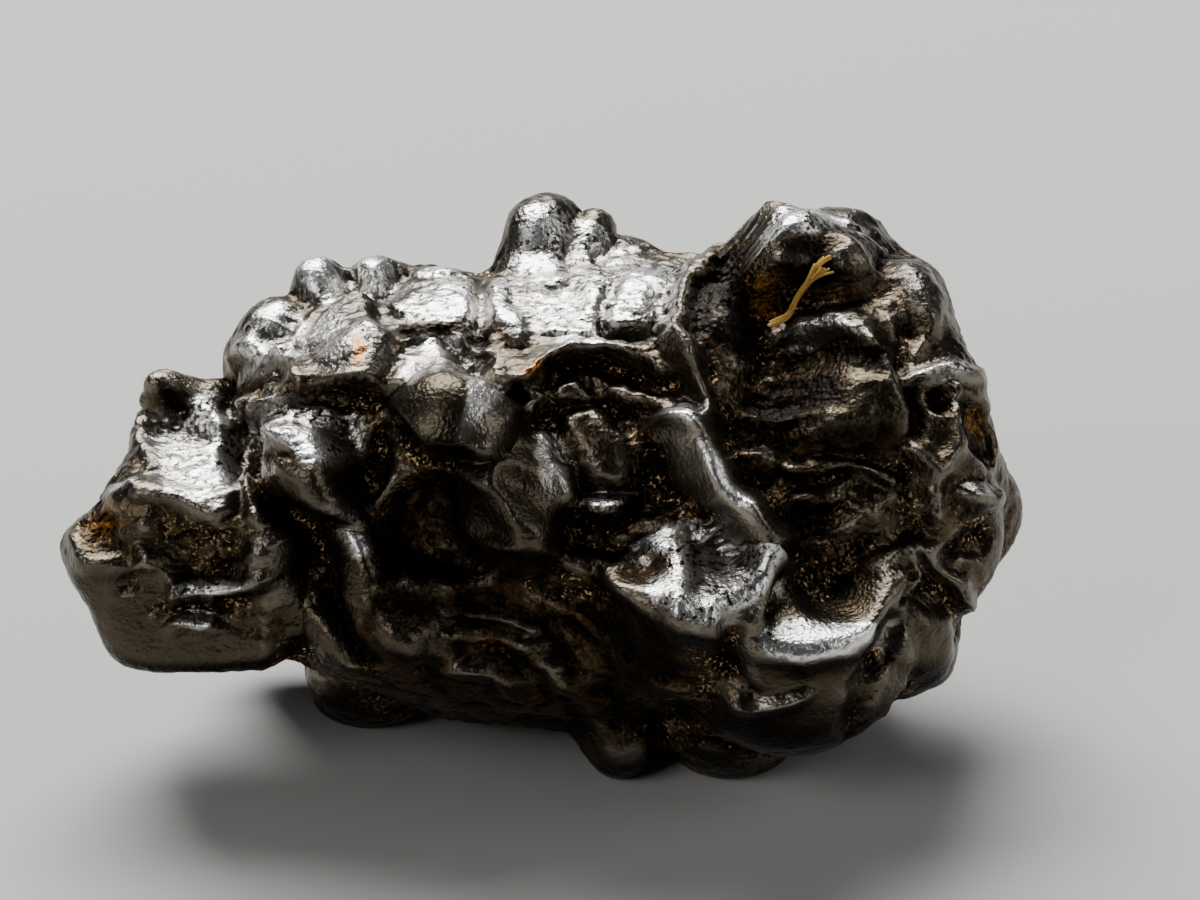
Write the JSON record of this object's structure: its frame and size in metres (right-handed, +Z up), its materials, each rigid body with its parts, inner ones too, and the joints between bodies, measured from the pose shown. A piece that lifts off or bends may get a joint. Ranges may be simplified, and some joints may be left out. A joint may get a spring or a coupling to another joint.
{
  "type": "iron meteorite",
  "caption": "Natural nugget of nickel-iron, sculpted into lumps, ridges, ledges and deep hollows, that lies on a table.",
  "frame": {"origin": "on the table, under the middle of the nugget's box", "axes": "+X along the nugget's length, towards its thick end; +Z up from the table; -Y out of the face that is looked at"},
  "size_m": [0.0342, 0.0204, 0.0183],
  "materials": {
    "iron": "worn bright on the ridges and flat tops, dark brown oxide in the hollows",
    "fibre": "dry yellow plant fibre"
  },
  "bodies": {
    "root": {"meteorite": "iron"}
  },
  "joints": []
}
